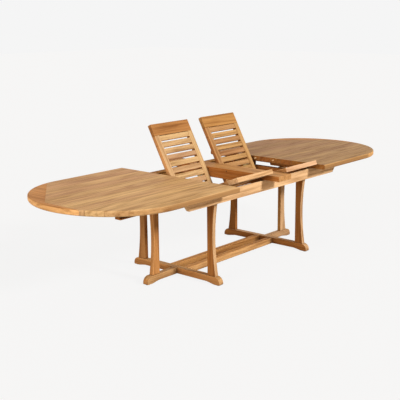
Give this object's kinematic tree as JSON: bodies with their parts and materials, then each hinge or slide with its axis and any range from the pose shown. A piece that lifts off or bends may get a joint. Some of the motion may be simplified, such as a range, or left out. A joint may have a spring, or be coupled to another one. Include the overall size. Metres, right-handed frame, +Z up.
{
  "type": "extending garden table",
  "caption": "Extending teak garden table: D-shaped tops slide out on runners, slatted leaves fold up between them beside a fixed centre board, on a base of shaped legs and cross feet.",
  "frame": {"origin": "on the floor, under the middle of the table", "axes": "+X along the table, +Z up, +Y across the table away from the low leaf halves"},
  "size_m": [3.418, 1.176, 1.0932],
  "materials": {
    "teak_top": "oiled",
    "teak_end": "oiled",
    "teak_leaf": "oiled",
    "teak_slat": "oiled",
    "teak_frame": "oiled",
    "teak_base": "oiled",
    "dowel": "plain",
    "brass": "satin",
    "glide": "moulded"
  },
  "bodies": {
    "frame": {"base_dowels": "dowel", "centre_beam": "teak_frame", "centre_board": "teak_frame", "far_apron": "teak_frame", "far_stretcher": "teak_base", "foot_glides": "glide", "leaf_pivot_rods": "brass", "left_arm_foot": "teak_base", "left_cross_foot": "teak_base", "left_cross_rail": "teak_frame", "left_far_leg": "teak_base", "left_near_leg": "teak_base", "left_outer_cross_rail": "teak_frame", "left_outer_leg": "teak_base", "near_apron": "teak_frame", "near_stretcher": "teak_base", "rail_blocks": "teak_frame", "right_arm_foot": "teak_base", "right_cross_foot": "teak_base", "right_cross_rail": "teak_frame", "right_far_leg": "teak_base", "right_near_leg": "teak_base", "right_outer_cross_rail": "teak_frame", "right_outer_leg": "teak_base"},
    "left_top": {"left_far_runner": "teak_frame", "left_near_runner": "teak_frame", "left_top_battens": "teak_frame", "left_top_end_piece": "teak_end", "left_top_pins": "brass", "left_top_planks": "teak_top"},
    "right_top": {"right_far_runner": "teak_frame", "right_near_runner": "teak_frame", "right_top_battens": "teak_frame", "right_top_end_piece": "teak_end", "right_top_pins": "brass", "right_top_planks": "teak_top"},
    "left_leaf_far_half": {"left_leaf_far_hinge_plates": "brass", "left_leaf_far_hinge_rail": "teak_leaf", "left_leaf_far_outer_rail": "teak_leaf", "left_leaf_far_slats": "teak_slat", "left_leaf_far_stiles": "teak_leaf", "left_leaf_hinge_pins": "brass", "left_leaf_pivot_plates": "brass"},
    "left_leaf_near_half": {"left_leaf_near_hinge_plates": "brass", "left_leaf_near_hinge_rail": "teak_leaf", "left_leaf_near_outer_rail": "teak_leaf", "left_leaf_near_slats": "teak_slat", "left_leaf_near_stiles": "teak_leaf"},
    "right_leaf_far_half": {"right_leaf_far_hinge_plates": "brass", "right_leaf_far_hinge_rail": "teak_leaf", "right_leaf_far_outer_rail": "teak_leaf", "right_leaf_far_slats": "teak_slat", "right_leaf_far_stiles": "teak_leaf", "right_leaf_hinge_pins": "brass", "right_leaf_pivot_plates": "brass"},
    "right_leaf_near_half": {"right_leaf_near_hinge_plates": "brass", "right_leaf_near_hinge_rail": "teak_leaf", "right_leaf_near_outer_rail": "teak_leaf", "right_leaf_near_slats": "teak_slat", "right_leaf_near_stiles": "teak_leaf"}
  },
  "joints": [
    {"name": "left_top_slide", "type": "slide", "parent": "frame", "child": "left_top", "axis": [-1, 0, 0], "range_m": [-0.0395, 0]},
    {"name": "left_leaf_fold", "type": "hinge", "parent": "frame", "child": "left_leaf_far_half", "pos_m": [-0.2875, 0.147, 0.676], "axis": [1, 0, 0], "range_deg": [-61.5, 71.5]},
    {"name": "left_leaf_hinge", "type": "hinge", "parent": "left_leaf_far_half", "child": "left_leaf_near_half", "pos_m": [-0.2875, 0.01973, 0.57783], "axis": [-1, 0, 0], "range_deg": [-83.03, 96.54]},
    {"name": "right_top_slide", "type": "slide", "parent": "frame", "child": "right_top", "axis": [1, 0, 0], "range_m": [-0.0395, 0]},
    {"name": "right_leaf_fold", "type": "hinge", "parent": "frame", "child": "right_leaf_far_half", "pos_m": [0.2875, 0.147, 0.676], "axis": [1, 0, 0], "range_deg": [-61.5, 71.5]},
    {"name": "right_leaf_hinge", "type": "hinge", "parent": "right_leaf_far_half", "child": "right_leaf_near_half", "pos_m": [0.2875, 0.01973, 0.57783], "axis": [-1, 0, 0], "range_deg": [-81.6, 94.88]}
  ],
  "couplings": [
    {"joint": "left_leaf_hinge", "follows": "left_leaf_fold", "ratio": 1.3501},
    {"joint": "right_leaf_hinge", "follows": "right_leaf_fold", "ratio": 1.3269}
  ]
}
